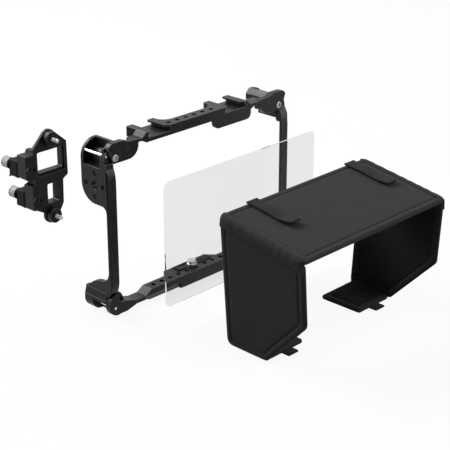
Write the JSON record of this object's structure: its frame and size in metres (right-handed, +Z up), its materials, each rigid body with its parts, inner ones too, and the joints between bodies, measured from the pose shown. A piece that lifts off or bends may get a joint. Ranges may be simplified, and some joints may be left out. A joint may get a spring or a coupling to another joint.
{
  "type": "monitor cage",
  "caption": "Frame cage for a small camera monitor with cold shoes, threaded rows and strap corners, with a two-jaw cable clamp, a clear screen protector and a folding sun hood.",
  "frame": {"origin": "on the underside of the cage's bottom bar, at the middle of its length and of its depth", "axes": "+X to the right seen from the front, +Y to the back, +Z up"},
  "size_m": [0.1809, 0.2207, 0.1135],
  "materials": {
    "anodised": "black anodised, satin",
    "steel": "bright turned",
    "black_steel": "black oxide",
    "knob": "knurled, bright nickel",
    "pad": "matt",
    "jaw": "moulded, ribbed",
    "clear": "clear polished",
    "cover_cloth": "fine woven",
    "board": "plain sheet",
    "lining_cloth": "matt flocked",
    "strap_tape": "hook-and-loop tape"
  },
  "bodies": {
    "cage": {"top_bar": "anodised", "bottom_bar": "anodised", "left_side_bar": "anodised", "right_side_bar": "anodised", "strap_pins": "steel", "corner_screws": "steel", "lug_dowels": "black_steel", "bottom_pad": "pad", "screw_clip": "black_steel"},
    "retaining_screw": {"retaining_screw": "steel"},
    "clamp": {"clamp_plate": "anodised", "jaw_dowels": "steel"},
    "upper_jaw": {"upper_jaw": "jaw"},
    "lower_jaw": {"lower_jaw": "jaw"},
    "upper_knob": {"upper_thumb_screw": "knob"},
    "lower_knob": {"lower_thumb_screw": "knob"},
    "upper_mount_screw": {"upper_mount_screw": "steel"},
    "lower_mount_screw": {"lower_mount_screw": "steel"},
    "protector": {"screen_protector": "clear"},
    "hood": {"hood_top_cover": "cover_cloth", "hood_top_board": "board", "hood_top_lining": "lining_cloth"},
    "left_panel": {"left_panel_cover": "cover_cloth", "left_panel_board": "board", "left_panel_lining": "lining_cloth"},
    "right_panel": {"right_panel_cover": "cover_cloth", "right_panel_board": "board", "right_panel_lining": "lining_cloth"},
    "left_flap": {"left_flap_cover": "cover_cloth", "left_flap_board": "board", "left_flap_lining": "lining_cloth", "left_flap_tab": "strap_tape"},
    "right_flap": {"right_flap_cover": "cover_cloth", "right_flap_board": "board", "right_flap_lining": "lining_cloth", "right_flap_tab": "strap_tape"},
    "left_strap": {"left_strap": "strap_tape"},
    "right_strap": {"right_strap": "strap_tape"}
  },
  "joints": [
    {"name": "retaining_screw_turn", "type": "hinge", "parent": "cage", "child": "retaining_screw", "pos_m": [-0.0036, 0.003, 0.009], "axis": [0, 0, 1], "continuous": true},
    {"name": "clamp_travel", "type": "slide", "parent": "cage", "child": "clamp", "axis": [0, -1, 0], "range_m": [0, 0.02]},
    {"name": "upper_jaw_slide", "type": "slide", "parent": "clamp", "child": "upper_jaw", "axis": [0, 1, 0], "range_m": [0, 0.0042]},
    {"name": "upper_knob_turn", "type": "hinge", "parent": "upper_jaw", "child": "upper_knob", "pos_m": [-0.0948, 0.0643, 0.0872], "axis": [0, 1, 0], "range_deg": [0, 2160]},
    {"name": "lower_jaw_slide", "type": "slide", "parent": "clamp", "child": "lower_jaw", "axis": [0, 1, 0], "range_m": [0, 0.0042]},
    {"name": "lower_knob_turn", "type": "hinge", "parent": "lower_jaw", "child": "lower_knob", "pos_m": [-0.0907, 0.0643, 0.0659], "axis": [0, 1, 0], "range_deg": [0, 2160]},
    {"name": "upper_mount_screw_turn", "type": "hinge", "parent": "clamp", "child": "upper_mount_screw", "pos_m": [-0.0784, 0.0523, 0.104], "axis": [0, 1, 0], "continuous": true},
    {"name": "lower_mount_screw_turn", "type": "hinge", "parent": "clamp", "child": "lower_mount_screw", "pos_m": [-0.0784, 0.0523, 0.0529], "axis": [0, 1, 0], "continuous": true},
    {"name": "protector_travel", "type": "slide", "parent": "cage", "child": "protector", "axis": [0, 1, 0], "range_m": [0, 0.036]},
    {"name": "hood_travel", "type": "slide", "parent": "protector", "child": "hood", "axis": [0, 1, 0], "range_m": [0, 0.034]},
    {"name": "left_panel_fold", "type": "hinge", "parent": "hood", "child": "left_panel", "pos_m": [-0.06, -0.0799, 0.08287], "axis": [0, -0.9873, -0.1589], "range_deg": [0, 78]},
    {"name": "left_flap_fold", "type": "hinge", "parent": "left_panel", "child": "left_flap", "pos_m": [-0.05332, -0.0964, 0.00315], "axis": [0, -1, 0], "range_deg": [0, 92]},
    {"name": "right_panel_fold", "type": "hinge", "parent": "hood", "child": "right_panel", "pos_m": [0.066, -0.0799, 0.08287], "axis": [0, 0.9873, 0.1589], "range_deg": [0, 60]},
    {"name": "right_flap_fold", "type": "hinge", "parent": "right_panel", "child": "right_flap", "pos_m": [0.05932, -0.0964, 0.00315], "axis": [0, 1, 0], "range_deg": [0, 92]},
    {"name": "left_strap_lift", "type": "hinge", "parent": "hood", "child": "left_strap", "pos_m": [-0.0364, -0.0804, 0.0861], "axis": [-1, 0, 0], "range_deg": [0, 85]},
    {"name": "right_strap_lift", "type": "hinge", "parent": "hood", "child": "right_strap", "pos_m": [0.0534, -0.0804, 0.0861], "axis": [-1, 0, 0], "range_deg": [0, 85]}
  ],
  "couplings": [
    {"joint": "upper_knob_turn", "follows": "upper_jaw_slide", "rad_per_m": 8976},
    {"joint": "lower_knob_turn", "follows": "lower_jaw_slide", "rad_per_m": 8976},
    {"joint": "left_flap_fold", "follows": "left_panel_fold", "ratio": 1.1782},
    {"joint": "right_flap_fold", "follows": "right_panel_fold", "ratio": 1.5317}
  ]
}
